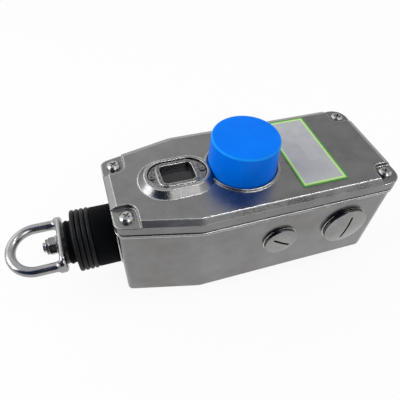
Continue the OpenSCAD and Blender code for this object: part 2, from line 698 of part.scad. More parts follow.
// the foot of a leg spreads onto the plate and stops at its edge
module eye_foot() intersection() {
  translate([0, eye_leg, 0]) rotate_extrude() polygon(concat(
    [[0, -eye_fillet], [eye_rod_r, -eye_fillet]],
    [for (a = [15:15:90]) [eye_rod_r + eye_fillet*(1 - cos(a)), eye_fillet*(sin(a) - 1)]],
    [[eye_rod_r + eye_fillet, eye_plate_t/2], [0, eye_plate_t/2]]));
  translate([0, 0, -eye_fillet]) linear_extrude(eye_fillet + eye_plate_t/2) eye_plan();
}
module rope_eye() color("lightgray") along_x(0) rotate(-eye_tilt) difference() {
  union() {
    translate([0, 0, eye_front]) {
      eye_plate();
      eye_foot();
      mirror([0, 1, 0]) eye_foot();
    }
    for (s = [-1, 1]) translate([0, s*eye_leg, bend_x])
      cylinder(r = eye_rod_r, h = eye_reach + eye_plate_t/2);
    translate([0, 0, bend_x]) rotate([0, -90, 0]) rotate([0, 0, 90]) rotate_extrude(angle = 180, $fn = 96)
      translate([eye_leg, 0]) circle(eye_rod_r);
  }
  translate([0, 0, eye_front - 1]) cylinder(r = thread_r + fit, h = eye_plate_t + 2);
}
module eye_washer() color("silver") along_x(nut_back + fit) ring(6, thread_r + fit, 1 - fit);
module eye_nut() color("gray") along_x(nut_front) difference() {
  union() {
    translate([0, 0, 1.6]) intersection() {
      rotate(30) hexagon(nut_flats, nut_h - 1.6);
      cylinder(r1 = nut_flats/2 + 0.1, r2 = nut_flats/2 + nut_h, h = nut_h);
    }
    cylinder(r = nut_flats/2 - 0.3, h = 2);
  }
  translate([0, 0, -eps]) cylinder(r = thread_r + fit, h = nut_h + 1);
  translate([0, 0, 0.4]) cylinder(r = thread_r + 1, h = 1.4);
}
module nut_insert() color("white") along_x(nut_front + 0.4 + fit) ring(thread_r + 1 - fit, thread_r + fit, 1.4 - 2*fit);

// ---- mechanism ----

module pin_z(x, l) translate([x, 0, shaft_z - l/2]) difference() {
  cylinder(r = 1.5, h = l);
  translate([0, 0, -eps]) cylinder(r = 0.8, h = l + 1);
}
module tension_spring() color("lightgray") along_x(spring_x)
  wire(coil(spring_r, spring_l, spring_turns, spring_wire, 16), spring_wire/2);
module spring_collar() color("darkgray") difference() {
  along_x(collar_x) union() {
    cylinder(r = collar_r, h = collar_t);
    translate([0, 0, -3]) cylinder(r = spring_r - spring_wire/2 - 0.4, h = 4);
  }
  along_x(collar_x - 4) cylinder(r = shaft_r + fit, h = long);
  translate([collar_x + collar_t/2, 0, 0]) cylinder(r = 1.5 + fit, h = long);
}
module collar_pin() color("gray") pin_z(collar_x + collar_t/2, 2*collar_r - 1);

flag_z = lid_under - flag_drop;
flag_l = spring_l - 2;
module indicator_flag() color("limegreen") difference() {
  union() {
    translate([flag_x, -7, shaft_z - 7]) cube([flag_t, 14, flag_z - shaft_z + 7]);
    translate([flag_x + flag_t - flag_l, -flag_half, flag_z - flag_t]) cube([flag_l, 2*flag_half, flag_t]);
    along_x(flag_x) cylinder(r = shaft_r + 3, h = flag_t);
  }
  along_x(flag_x - 1) cylinder(r = shaft_r + fit, h = 4);
}
module shaft_clip() color("dimgray") along_x(flag_x + flag_t + 2*fit) difference() {
  cylinder(r = shaft_r + 2.2, h = 1 - 2*fit);
  translate([0, 0, -eps]) cylinder(r = shaft_r - 1 + fit, h = 2);
  translate([0, 1 - shaft_r, -eps]) cube([shaft_r + 4, 2*shaft_r - 2, 2]);
}

tab_top = shaft_z + 13;
rear_tab_top = shaft_z + 7.5;
module chassis() color("lightsteelblue") difference() {
  union() {
    translate([0, 0, chassis_z]) linear_extrude(chassis_t) polygon([
      [front_tab_x, -tab_half], [front_tab_x + 5, -tab_half], [front_tab_x + 8, -chassis_half],
      [cheek_end, -chassis_half], [cheek_end, chassis_half], [front_tab_x + 8, chassis_half],
      [front_tab_x + 5, tab_half], [front_tab_x, tab_half]]);
    for (tab = [[front_tab_x, tab_top], [rear_tab_x, rear_tab_top]])
      translate([tab[0], -tab_half, chassis_z]) cube([chassis_t, 2*tab_half, tab[1] - chassis_z]);
    for (s = [-1, 1]) translate([0, s*(chassis_half - chassis_t/2), 0]) rotate([90, 0, 0])
      translate([0, 0, -chassis_t/2]) linear_extrude(chassis_t) polygon([
        [cheek_x - 3, chassis_z], [cheek_end, chassis_z], [cheek_end, cheek_top], [cheek_x + 3, cheek_top],
        [cheek_x + 3, cheek_top - 14]]);
  }
  along_x(front_tab_x - 1) cylinder(r = shaft_r + gap, h = 4);
  along_x(rear_tab_x - 1) cylinder(r = shaft_r + 2 + fit, h = 4);
  for (p = chassis_places) translate([p[0], p[1], 0]) cylinder(r = chassis_screw_r + 0.15, h = deck_z + 1);
  translate([latch_x, 0, latch_z]) rotate([90, 0, 0]) cylinder(r = 2 + fit, h = long, center = true);
  for (p = block_screw_places) translate([p, 0, block_z + 5]) rotate([90, 0, 0])
    cylinder(r = 1.5 + fit, h = long, center = true);
}
module chassis_screws() color("gainsboro")
  for (p = chassis_places) translate([p[0], p[1], deck_z]) screw(chassis_screw_r, 3.8, 2.4, chassis_lift + floor_t - 0.5);
module rear_bush() color("goldenrod") along_x(rear_tab_x - 1.5) difference() {
  union() {
    cylinder(r = shaft_r + 2, h = chassis_t + 3);
    cylinder(r = shaft_r + 3.5, h = 1.5 - fit);
  }
  translate([0, 0, -eps]) cylinder(r = shaft_r + fit, h = 10);
}

// The cam's top rises towards +X twice, once for each foot.
cam_l = block_end - cam_x - 2;
ramp_x = [pole_x - 2, pole_x - 2 + 2*pole_pitch];
module cam_slider() color("ivory") difference() {
  translate([0, cam_half, 0]) rotate([90, 0, 0]) linear_extrude(2*cam_half) polygon([
    [cam_x, shaft_z - 8], [cam_x + cam_l, shaft_z - 8],
    [cam_x + cam_l, cam_top],
    [ramp_x[1] + ramp_l, cam_top], [ramp_x[1] + ramp_l, cam_top + cam_slope*ramp_l], [ramp_x[1], cam_top],
    [ramp_x[0] + ramp_l, cam_top], [ramp_x[0] + ramp_l, cam_top + cam_slope*ramp_l], [ramp_x[0], cam_top],
    [cam_x, cam_top]]);
  along_x(cam_x - 1) cylinder(r = shaft_r + fit, h = shaft_end - cam_x + 1 + fit);
  translate([cam_x + 7, 0, 0]) cylinder(r = 1.5 + fit, h = long);
}
module cam_pin() color("gray") pin_z(cam_x + 7, 12);

foot_x = [pole_x, pole_x + 2*pole_pitch];
foot_z = cam_top + cam_slope*(foot_x[0] - ramp_x[0]) + foot_r/cos(atan(cam_slope)) + fit;
rail_t = 3.5;
bridge_z = rail_z + rail_t + 2.5;
bridge_t = 1;
slot_top = bridge_z + bridge_t + lift + 1;
contact_t = 0.8;
block_screw_places = [block_x + 12, block_end - 12];
poles = [for (i = [0:pole_n - 1]) pole_x + i*pole_pitch];

module switch_block() color([0.16, 0.16, 0.18]) difference() {
  translate([block_x, -block_half, block_z]) cube([block_end - block_x, 2*block_half, block_h]);
  // the room of the carrier, open below
  translate([block_x + 1.5, -4.5, block_z - 1]) cube([block_end - block_x - 3, 9, slot_top - block_z + 1]);
  // the catch finger's slot in the end wall
  translate([block_x - 1, -2.4, rail_z - 0.4]) cube([4, 4.8, rail_t + lift + 0.8]);
  for (x = poles) {
    // the bridge's room and the strips' slots
    translate([x - 3, -11.5, bridge_z - contact_t - fit]) cube([6, 23, slot_top - bridge_z + contact_t + fit]);
    for (s = [-1, 1]) {
      translate([x - 2.6, s > 0 ? 8 : -block_half - 1, bridge_z - contact_t - 2*fit])
        cube([5.2, block_half + 1 - 8, contact_t + fit]);
      translate([x, s*terminal_y, bridge_z - 3]) cylinder(r = 1.3 + fit, h = long);
      translate([x, s*terminal_y, block_top - 4]) cylinder(r = 2.1, h = long);
    }
  }
  for (p = block_screw_places, s = [-1, 1]) translate([p, s*(block_half + 1), block_z + 5]) rotate([s*90, 0, 0])
    cylinder(r = 1.25 + fit, h = 5.5);
}
module fixed_contacts() color("goldenrod") for (x = poles, s = [-1, 1]) difference() {
  translate([x - 2.5, s > 0 ? 8.1 : -block_half, bridge_z - contact_t - fit]) cube([5, block_half - 8.1, contact_t]);
  translate([x, s*terminal_y, 0]) cylinder(r = 1.3 + fit, h = long);
}
module terminal_screws() color("gainsboro") for (x = poles, s = [-1, 1])
  translate([x, s*terminal_y, block_top - 3.9]) difference() {
    union() {
      cylinder(r = 1.9, h = 1.8);
      translate([0, 0, bridge_z - 2.8 - block_top + 3.9]) cylinder(r = 1.3, h = block_top - 3.9 - bridge_z + 2.8 + eps);
    }
    translate([-3, -0.3, 1]) cube([6, 0.6, 2]);
  }
module contact_carrier() color("firebrick") difference() {
  union() {
    translate([block_x + 2, -4, rail_z]) cube([block_end - block_x - 4, 8, rail_t]);
    translate([block_x - 1.2, -2, rail_z + 0.4]) cube([4, 4, rail_t - 0.8]);
    for (x = foot_x) {
      translate([x - foot_r, -4, foot_z]) cube([2*foot_r, 8, rail_z - foot_z + eps]);
      translate([x, 4, foot_z]) rotate([90, 0, 0]) cylinder(r = foot_r, h = 8);
    }
    for (x = poles) translate([x - 2.2, -3, rail_z + rail_t - eps]) cube([4.4, 6, bridge_z + bridge_t - rail_z - rail_t]);
  }
  for (x = poles) translate([x - 1.55, -5, bridge_z - fit]) cube([3.1, 10, bridge_t + 1]);
}
module contact_bridges() color("peru") for (x = poles) {
  translate([x - 1.5, -10.5, bridge_z]) cube([3, 21, bridge_t]);
}
carrier_spring_x = [for (i = [0:1]) pole_x + (2*i + 0.5)*pole_pitch];
module carrier_springs() color("lightgray") for (x = carrier_spring_x) translate([x, 0, rail_z + rail_t + fit])
  wire(coil(2.2, slot_top - rail_z - rail_t - 2*fit, 5, 0.5, 10), 0.25, sides = 6);
module block_screws() color("gainsboro") for (p = block_screw_places, s = [-1, 1])
  translate([p, s*(chassis_half + fit), block_z + 5]) rotate([-s*90, 0, 0]) screw(1.25, 2.4, 1.6, 6);

hook_x = block_x - 1.2 - gap;
module latch_lever() color("slategray") difference() {
  union() {
    translate([button_x, 4, pad_z]) rotate([90, 0, 0]) cylinder(r = latch_pad_r, h = 8);
    translate([latch_x, chassis_half - chassis_t - 0.2, latch_z]) rotate([90, 0, 0])
      cylinder(r = 3.8, h = 2*(chassis_half - chassis_t - 0.2));
    translate([0, 2.5, 0]) rotate([90, 0, 0]) linear_extrude(5) polygon([
      [button_x, pad_z - 2.5], [latch_x, latch_z - 2.5], [latch_x + 3, latch_z], [hook_x, latch_z + 5],
      [hook_x, latch_z + 7.5], [latch_x + 2, latch_z + 7.5], [latch_x + 1, latch_z + 3.5],
      [latch_x, latch_z + 2.5], [button_x, pad_z + 2.5]]);
  }
  translate([latch_x, 0, latch_z]) rotate([90, 0, 0]) cylinder(r = 2 + fit, h = long, center = true);
}
module latch_pin() color("silver") translate([latch_x, 0, latch_z]) rotate([90, 0, 0]) union() {
  cylinder(r = 2, h = 2*chassis_half + 2, center = true);
  for (s = [-1, 1]) translate([0, 0, s*(chassis_half + 0.9)]) cylinder(r = 3.2, h = 1, center = true);
}
latch_spring_r = 4.6;
module latch_spring() color("lightgray") translate([latch_x, 4, latch_z]) rotate([-90, 0, 0])
  wire(concat(
    [[-6.5, latch_spring_r, 0.4]],
    [for (t = [0:20:1080]) [latch_spring_r*sin(t), latch_spring_r*cos(t), 0.4 + t/360*1]],
    [[3.5, latch_spring_r, 3.4]]), 0.4, sides = 6);

module earth_screw() color("limegreen")
  translate([earth_place[0], earth_place[1], floor_t + earth_boss_h + 1]) screw(2, 3.6, 2.2, earth_boss_h + 2);
module earth_washer() color("silver")
  translate([earth_place[0], earth_place[1], floor_t + earth_boss_h + fit]) ring(4.4, 2.1, 1 - 2*fit);

// ---- conduit plugs ----

module plug(e) translate([e[0], entry_face - plug_washer_t, entry_z]) rotate([90, 0, 0]) difference() {
  crown = plug_dome_r - sqrt(pow(plug_dome_r, 2) - pow(e[2], 2));
  union() {
    intersection() {
      cylinder(r = e[2], h = e[3] + crown, $fn = 96);
      translate([0, 0, e[3] + crown - plug_dome_r]) sphere(plug_dome_r, $fn = 240);
    }
    translate([0, 0, -plug_washer_t - entry_l + 1]) cylinder(r = e[1], h = plug_washer_t + entry_l - 1 + eps);
  }
  // the coin slot
  reach = slot_share*e[2] - slot_w/2;
  rotate(e[4]) translate([0, 0, e[3] + crown - slot_depth]) linear_extrude(long) {
    square([2*reach, slot_w], center = true);
    for (s = [-1, 1]) translate([s*reach, 0]) circle(slot_w/2);
  }
}
module plug_washer(e) translate([e[0], entry_face, entry_z]) rotate([90, 0, 0])
  ring(e[2] - 0.1, e[1] + fit, plug_washer_t);
module conduit_plug_large() color("silver") plug(entries[0]);
module conduit_plug_small() color("silver") plug(entries[1]);
module plug_washer_large() color("black") plug_washer(entries[0]);
module plug_washer_small() color("black") plug_washer(entries[1]);

housing_base();
lid();
lid_gasket();
lid_screws();
window_bezel();
window_glass();
window_gasket();
bezel_screws();
rating_plate();
reset_button();
reset_stem();
reset_clip();
reset_bush();
reset_o_ring();
reset_spring();
nose_bush();
nose_nut();
shaft_seal();
gaiter();
gaiter_washer();
tension_shaft();
rope_eye();
eye_washer();
eye_nut();
nut_insert();
tension_spring();
spring_collar();
collar_pin();
indicator_flag();
shaft_clip();
chassis();
chassis_screws();
rear_bush();
cam_slider();
cam_pin();
switch_block();
fixed_contacts();
terminal_screws();
contact_carrier();
contact_bridges();
carrier_springs();
block_screws();
latch_lever();
latch_pin();
latch_spring();
earth_screw();
earth_washer();
conduit_plug_large();
conduit_plug_small();
plug_washer_large();
plug_washer_small();
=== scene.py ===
import math

import bmesh
import bpy
from mathutils import Matrix, Vector


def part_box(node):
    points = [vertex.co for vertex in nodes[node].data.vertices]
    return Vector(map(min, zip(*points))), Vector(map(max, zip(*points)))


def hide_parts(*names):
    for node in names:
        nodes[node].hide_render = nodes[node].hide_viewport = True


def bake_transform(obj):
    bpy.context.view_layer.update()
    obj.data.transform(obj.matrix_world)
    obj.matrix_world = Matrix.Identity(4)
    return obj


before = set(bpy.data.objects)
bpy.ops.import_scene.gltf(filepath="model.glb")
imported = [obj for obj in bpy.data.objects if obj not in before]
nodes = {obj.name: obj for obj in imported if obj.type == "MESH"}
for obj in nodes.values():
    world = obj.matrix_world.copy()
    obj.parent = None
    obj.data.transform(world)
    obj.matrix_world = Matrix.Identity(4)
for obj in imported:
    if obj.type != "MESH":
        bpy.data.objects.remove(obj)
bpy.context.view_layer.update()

WHITE = (1.0, 1.0, 1.0)


# ---- shader steps ----

SAMPLES = 6                 # rays for each rounded edge and each crevice


class Shader:
    """The node tree of a material or a world, with a method for each small step."""

    def __init__(self, block):
        block.use_nodes = True
        self.block = block
        self.nodes = block.node_tree.nodes
        self.links = block.node_tree.links

    def feed(self, socket, value):
        """Puts a number, a colour, a direction or another node's output into a socket."""
        if isinstance(value, bpy.types.NodeSocket):
            self.links.new(value, socket)
        elif socket.type == "RGBA":
            socket.default_value = (*value, 1)
        else:
            socket.default_value = value

    def add(self, kind, output, inputs, **settings):
        """Adds a node, applies its settings and then its inputs, and gives back one of its outputs."""
        node = self.nodes.new(kind)
        for name, value in settings.items():
            setattr(node, name, value)
        for name, value in inputs.items():
            self.feed(node.inputs[name], value)
        return node.outputs[output]

    def maths(self, operation, *values):
        return self.add("ShaderNodeMath", "Value", dict(enumerate(values)), operation=operation)

    def mix(self, factor, low, high):
        """Mixes two numbers or two colours by a factor."""
        kind = "FLOAT" if isinstance(high, float) else "RGBA"
        return self.add("ShaderNodeMix", "Result", {"Factor": factor, "A": low, "B": high}, data_type=kind)

    def ramp(self, factor, low, high, start=0.35, end=0.65):
        """Goes from low to high, two numbers or two colours, while a factor goes from start to end."""
        if isinstance(low, tuple):
            return self.mix(self.ramp(factor, 0.0, 1.0, start, end), low, high)
        return self.add("ShaderNodeMapRange", "Result", {
            "Value": factor, "From Min": start, "From Max": end, "To Min": low, "To Max": high})

    def noise(self, scale, detail, rough, shift=(0, 0, 0)):
        """Noise in the object's own metres, where scale 1000 is a grain of about 1 mm."""
        here = self.add("ShaderNodeTexCoord", "Object", {})
        place = self.add("ShaderNodeMapping", "Vector", {"Vector": here, "Location": shift})
        return self.add("ShaderNodeTexNoise", "Fac", {
            "Vector": place, "Scale": scale, "Detail": detail, "Roughness": rough})

    def upward(self, direction):
        """How far a direction points up, from -1 to 1."""
        return self.add("ShaderNodeSeparateXYZ", "Z", {"Vector": direction})

    def normal(self):
        return self.add("ShaderNodeNewGeometry", "Normal", {})

    def rounded(self, radius):
        """The normal as it would be if every edge were rounded by radius."""
        return self.add("ShaderNodeBevel", "Normal", {"Radius": radius}, samples=SAMPLES)

    def open_share(self, reach):
        """How much of the space over a point is free of its own object within reach, from 0 to 1."""
        return self.add("ShaderNodeAmbientOcclusion", "AO", {"Distance": reach}, samples=SAMPLES)

    def as_cast(self):
        """1 on slanted and upright faces, which stay as cast, and 0 on level ones, which are ground."""
        return self.ramp(self.upward(self.normal()), 1.0, 0.0, 0.93, 0.985)

    def rim(self, radius):
        """1 on the rounded rim between a level top and upright sides, and 0 elsewhere."""
        up = self.upward(self.rounded(radius))
        return self.maths("MULTIPLY", self.ramp(up, 0.0, 1.0, 0.15, 0.5), self.ramp(up, 1.0, 0.0, 0.85, 0.98))

    def edge_polish_and_highlight(self, radius, free, level=None):
        """1 on outer edges, which handling and tumbling have polished and where a highlight is painted, and 0
        elsewhere. With level, a range of the rounded normal's upward share, only the edges of level faces
        count."""
        soft = self.rounded(radius)
        bend = self.add("ShaderNodeVectorMath", "Value", {0: soft, 1: self.normal()}, operation="DOT_PRODUCT")
        sharp = self.ramp(bend, 1.0, 0.0, 0.955, 0.99)
        gloss_and_sheen = self.maths("MULTIPLY", sharp, self.ramp(free, 0.0, 1.0, 0.35, 0.6))
        if level:
            gloss_and_sheen = self.maths("MULTIPLY", gloss_and_sheen, self.ramp(self.upward(soft), 0.0, 1.0, *level))
        return gloss_and_sheen


class Surface(Shader):
    """A new material with one Principled shader."""

    def __init__(self, name):
        super().__init__(bpy.data.materials.new(name))
        self.bsdf = self.nodes["Principled BSDF"]

    def set(self, **inputs):
        """Feeds the shader's inputs, where base_color names the input Base Color."""
        sockets = {socket.name.lower().replace(" ", "_"): socket for socket in self.bsdf.inputs}
        for name, value in inputs.items():
            self.feed(sockets[name], value)

    def relief(self, height, strength, distance, bevel=0.0):
        """Bump from a height, over a normal that is rounded by bevel at the edges."""
        inputs = {"Height": height, "Strength": strength, "Distance": distance}
        if bevel:
            inputs["Normal"] = self.rounded(bevel)
        self.set(normal=self.add("ShaderNodeBump", "Normal", inputs))


# ---- materials ----

# Painted shade: the colour that steel darkens to in narrow crevices and slots, where little light reaches
CREVICE_SHADE = (0.012, 0.012, 0.013)
WORN_ROUGHNESS = 0.16
FINE_SHARE = 0.12           # how much the fine marks of a steel change its roughness
MARKS = 0.0002              # depth of the fine marks, in metres


def steel(name, dark, light, rough, cloud, grain, bump, bevel=0.0, crevice=0.0, shade_fade=(0.28, 0.52), edge=None,
          cast=0.0, level=None):
    """Satin metal from dark to light, in patches of the noise scale cloud, with marks of the scale grain.
    It has painted shade in crevices narrower than crevice, edges polished and with a painted highlight in
    the colour edge, and a pebbled bump of strength cast on all but its level faces."""
    s = Surface(name)
    patches = s.noise(cloud, 4, 0.6)
    fine = s.noise(grain, 3, 0.6, (0.3, 0.1, 0.7))
    colour = s.ramp(patches, dark, light)
    low, high = (r - FINE_SHARE / 2 for r in rough)
    roughness = s.maths("MULTIPLY_ADD", fine, FINE_SHARE, s.ramp(patches, low, high))
    if crevice:
        free = s.open_share(crevice)
        # Painted highlight: outer edges are coloured lighter towards edge; their lower roughness stands for
        # polish
        if edge:
            gloss_and_sheen = s.edge_polish_and_highlight(bevel, free, level)
            colour = s.mix(gloss_and_sheen, colour, edge)
            roughness = s.mix(gloss_and_sheen, roughness, WORN_ROUGHNESS)
        # Painted shade: darker where little of the space over a point is open
        colour = s.mix(s.ramp(free, 0.0, 1.0, *shade_fade), CREVICE_SHADE, colour)
    if cast:
        bump = s.mix(s.as_cast(), bump, cast)
    s.set(metallic=1.0, base_color=colour, roughness=roughness)
    s.relief(fine, bump, MARKS, bevel)
    return s.block


def plastic(name, dark, light, rough=(0.35, 0.45), grain=900, bump=0.05, bevel=0.0, specular=0.5, edge=None,
            crevice=0.0):
    """Plastic or rubber, with the colour edge painted on its rounded rim as a highlight, and painted shade in
    crevices.
    """
    s = Surface(name)
    fine = s.noise(grain, 4, 0.6, (0.2, 0.4, 0.9))
    colour = s.ramp(s.noise(60, 3, 0.5), dark, light)
    if edge:
        # Painted highlight: the rounded rim is coloured lighter towards edge
        colour = s.mix(s.rim(bevel), colour, edge)
    if crevice:
        # Painted shade: darker where little of the space over a point is open
        shade = (0.0005, 0.0005, 0.0008)
        colour = s.mix(s.ramp(s.open_share(crevice), 0.0, 1.0, 0.3, 0.8), shade, colour)
    s.set(specular_ior_level=specular, base_color=colour, roughness=s.ramp(fine, *rough))
    s.relief(fine, bump, MARKS, bevel)
    return s.block


def smoked_glass():
    s = Surface("smoked_window")
    fine = s.noise(500, 3, 0.5)
    s.set(base_color=(0.02, 0.02, 0.024), ior=1.49, specular_ior_level=0.3)
    s.set(roughness=s.ramp(fine, 0.05, 0.12))
    s.relief(fine, 0.02, MARKS)
    return s.block


GREEN, PALE_GREEN = (0.08, 0.29, 0.04), (0.55, 0.82, 0.30)
GREEN_IN, PALE_GREEN_IN = 0.0012, 0.0025                  # how far each border line reaches in
FIELD = (0.42, 0.425, 0.44), (0.50, 0.505, 0.52)
BOX = (0.50, 0.50, 0.53)
BOX_LOW, BOX_HIGH = (0.0145, 0.0195), (0.0228, 0.0415)    # from the plate's lowest corner


def plate_foil(lo, hi):
    """A foil plate: two green border lines round a pale field, and one lighter, empty box."""
    s = Surface("plate_foil")
    here = s.nodes.new("ShaderNodeSeparateXYZ")
    s.feed(here.inputs["Vector"], s.add("ShaderNodeTexCoord", "Object", {}))

    def inside(low, high):
        """How far a point lies inside a rectangle, negative outside."""
        sides = [s.maths("MINIMUM", s.maths("SUBTRACT", here.outputs[axis], low[axis]),
                         s.maths("SUBTRACT", high[axis], here.outputs[axis])) for axis in (0, 1)]
        return s.maths("MINIMUM", *sides)

    corner = lo.xy
    edge = inside(lo, hi)
    box = inside(corner + Vector(BOX_LOW), corner + Vector(BOX_HIGH))
    field = s.ramp(s.noise(90, 4, 0.6), *FIELD)
    colour = s.mix(s.maths("GREATER_THAN", edge, GREEN_IN), GREEN, PALE_GREEN)
    colour = s.mix(s.maths("GREATER_THAN", edge, PALE_GREEN_IN), colour, field)
    colour = s.mix(s.maths("GREATER_THAN", box, 0), colour, BOX)
    fine = s.noise(1500, 3, 0.6)
    s.set(base_color=colour, roughness=s.ramp(fine, 0.3, 0.42))
    s.relief(fine, 0.05, MARKS / 2)
    return s.block


MATERIALS = {
    # In each steel, edge is a painted highlight on outer edges, and crevice the reach of painted shade in
    # hollows
    "housing": steel("case_cast_steel", (0.179, 0.173, 0.169), (0.231, 0.229, 0.229), rough=(0.17, 0.25),
                     cloud=40, grain=1100, bump=0.10, bevel=0.0010, crevice=0.002, edge=(0.85, 0.85, 0.84)),
    "lid": steel("lid_cast_steel", (0.175, 0.175, 0.176), (0.224, 0.224, 0.225), rough=(0.25, 0.33),
                 cloud=50, grain=800, bump=0.05, bevel=0.0012, crevice=0.002, edge=(0.85, 0.85, 0.85),
                 cast=0.45, level=(0.86, 0.93)),
    "bezel": steel("bezel_steel", (0.071, 0.071, 0.074), (0.249, 0.249, 0.249), rough=(0.16, 0.26),
                   cloud=700, grain=900, bump=0.5, bevel=0.0005, crevice=0.001, edge=(0.85, 0.85, 0.85)),
    "screw": steel("screw_steel", (0.296, 0.296, 0.289), (0.444, 0.444, 0.429), rough=(0.18, 0.28),
                   cloud=400, grain=1500, bump=0.12, bevel=0.0003),
    "small": steel("small_screw_steel", (0.118, 0.118, 0.118), (0.222, 0.222, 0.222), rough=(0.2, 0.3),
                   cloud=400, grain=1500, bump=0.12, bevel=0.0002, crevice=0.001),
    "dark": steel("dark_steel", (0.03, 0.03, 0.03), (0.059, 0.059, 0.059), rough=(0.3, 0.4),
                  cloud=300, grain=3000, bump=0.08),
    "turned": steel("turned_steel", (0.333, 0.333, 0.326), (0.407, 0.407, 0.4), rough=(0.22, 0.3),
                    cloud=300, grain=3000, bump=0.06),
    "polished": steel("polished_steel", (0.28, 0.28, 0.286), (0.36, 0.36, 0.367), rough=(0.15, 0.21),
                      cloud=120, grain=1800, bump=0.03, bevel=0.0010),
    "nut": steel("nut_steel", (0.163, 0.167, 0.167), (0.237, 0.237, 0.237), rough=(0.18, 0.26),
                 cloud=300, grain=2600, bump=0.08, bevel=0.0003, crevice=0.001, edge=(0.6, 0.6, 0.6)),
    # The plugs' slots and the gaps round their heads are darkened with painted shade
    "plug": steel("plug_steel", (0.229, 0.226, 0.222), (0.289, 0.285, 0.281), rough=(0.14, 0.22),
                  cloud=90, grain=1800, bump=0.1, bevel=0.0003, crevice=0.0035, shade_fade=(0.34, 0.5)),
    "spring": steel("spring_steel", (0.259, 0.259, 0.266), (0.333, 0.333, 0.34), rough=(0.2, 0.3),
                    cloud=300, grain=2600, bump=0.05),
    "zinc": steel("zinc_plate", (0.37, 0.377, 0.385), (0.444, 0.451, 0.459), rough=(0.3, 0.4),
                  cloud=60, grain=2600, bump=0.05),
    "brass": steel("brass", (0.481, 0.355, 0.148), (0.555, 0.429, 0.207), rough=(0.25, 0.35),
                   cloud=200, grain=2600, bump=0.05),
    "rubber": plastic("black_rubber", (0.0012, 0.0015, 0.0024), (0.0025, 0.003, 0.0042), rough=(0.6, 0.75),
                      specular=0.05),
    # The ribs' rubber is glossier; its lighter colour is a painted sheen, with painted shade in the grooves
    "gloss_and_sheen": plastic("chalky_rubber", (0.003, 0.0034, 0.0046), (0.0055, 0.006, 0.0078), rough=(0.42, 0.55),
                    specular=0.19, crevice=0.0025),
    "black": plastic("black_plastic", (0.012, 0.012, 0.013), (0.02, 0.02, 0.021), rough=(0.4, 0.5)),
    "red": plastic("red_plastic", (0.3, 0.02, 0.015), (0.4, 0.03, 0.02)),
    "nylon": plastic("nylon", (0.6, 0.58, 0.5), (0.72, 0.7, 0.62)),
    "flag": plastic("flag_paint", (0.05, 0.28, 0.07), (0.07, 0.35, 0.09)),
    # edge is a painted highlight along the cap's rounded rim
    "blue": plastic("blue_cap", (0.0, 0.18, 0.90), (0.0, 0.205, 0.97), rough=(0.2, 0.28), grain=1400,
                    bump=0.03, bevel=0.0016, specular=0.055, edge=(0.01, 0.34, 1.0)),
    "glass": smoked_glass(),
    "plate": plate_foil(*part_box("rating_plate")),
}

USES = {
    "housing": ["housing_base"],
    "lid": ["lid"],
    "bezel": ["window_bezel"],
    "screw": ["lid_screws", "chassis_screws", "terminal_screws", "block_screws", "earth_screw"],
    "small": ["bezel_screws"],
    "dark": ["reset_clip", "shaft_clip", "gaiter_washer"],
    "turned": ["reset_stem", "nose_bush", "nose_nut", "tension_shaft", "eye_washer", "spring_collar",
               "latch_pin", "earth_washer"],
    "polished": ["rope_eye"],
    "nut": ["eye_nut"],
    "plug": ["conduit_plug_large", "conduit_plug_small"],
    "spring": ["reset_spring", "tension_spring", "collar_pin", "cam_pin", "carrier_springs", "latch_spring"],
    "zinc": ["chassis", "latch_lever"],
    "brass": ["reset_bush", "rear_bush", "fixed_contacts", "contact_bridges"],
    "rubber": ["lid_gasket", "window_gasket", "reset_o_ring", "shaft_seal", "gaiter", "plug_washer_large",
               "plug_washer_small"],
    "black": ["switch_block"],
    "red": ["contact_carrier"],
    "nylon": ["nut_insert", "cam_slider"],
    "flag": ["indicator_flag"],
    "blue": ["reset_button"],
    "glass": ["window_glass"],
    "plate": ["rating_plate"],
}

for key, names in USES.items():
    for name in names:
        for slot in nodes[name].material_slots:
            slot.material = MATERIALS[key]


# ---- flexible pieces ----

FIT, GAP = 0.00005, 0.0003      # clearances of the part's source: round a seated piece and round a moving one
SEAL_SECTION = 0.003            # from the shaft to the outside of its seal's seat

TUBE_L = 0.0132                 # the gaiter's plain tube, from its mouth to the first rib
TUBE_IN = 0.0005                # how far the tube lies inside the ribs' crests
TUBE_RINGS = 6
TUBE_LIP = 0.0007               # how far the ribs' bore reaches under the tube
RIBS = 4
RIB_PITCH = 0.0029
RIB_DEPTH = 0.0019
RIB_HALF = 0.47                 # half a rib's width, as a share of the pitch
RIB_FULLNESS = 0.55             # below 1, a rib is fuller than a sine wave
RIB_STEPS = 16
WALL = 0.0022
NECK_R = 0.0130
NECK_WALL = 0.0016              # between the ribs' bore and the end of the ribs at the neck
# Rounded corners, as steps along and out from the sharp one: the tube's two ends, the last rib's fall
# to the neck, the neck's foot, and the bead that ends the neck
MOUTH = [(0, -0.0003), (-0.0003, 0)]
TUBE_FOOT = [(0.0004, 0), (0.0001, -0.0003)]
FALL = [(0, -0.0006), (-0.0003, -0.0016)]
FOOT = [(-0.0004, 0.0006), (-0.0009, 0)]
BEAD = [(0.0022, 0), (0.0017, 0.0004), (0.0010, 0.0006), (0.0003, 0.0003), (0, -0.0004)]
AROUND = 128


def revolve(profile, z, steps):
    """A closed profile of (x, radius) points turned about the shaft's axis at height z."""
    bm = bmesh.new()
    rings = []
    for i in range(steps):
        a = 2 * math.pi * i / steps
        rings.append([bm.verts.new((x, r * math.sin(a), z + r * math.cos(a))) for x, r in profile])
    for i, ring in enumerate(rings):
        after = rings[(i + 1) % steps]
        for j in range(len(profile)):
            k = (j + 1) % len(profile)
            bm.faces.new((ring[j], ring[k], after[k], after[j])).smooth = True
    bmesh.ops.recalc_face_normals(bm, faces=bm.faces)
    mesh = bpy.data.meshes.new("revolved")
    bm.to_mesh(mesh)
    bm.free()
    return mesh


def offsets(x, r, steps):
    """The points of a rounded corner, given as steps from the sharp corner at x and radius r."""
    return [(x + along, r + out) for along, out in steps]


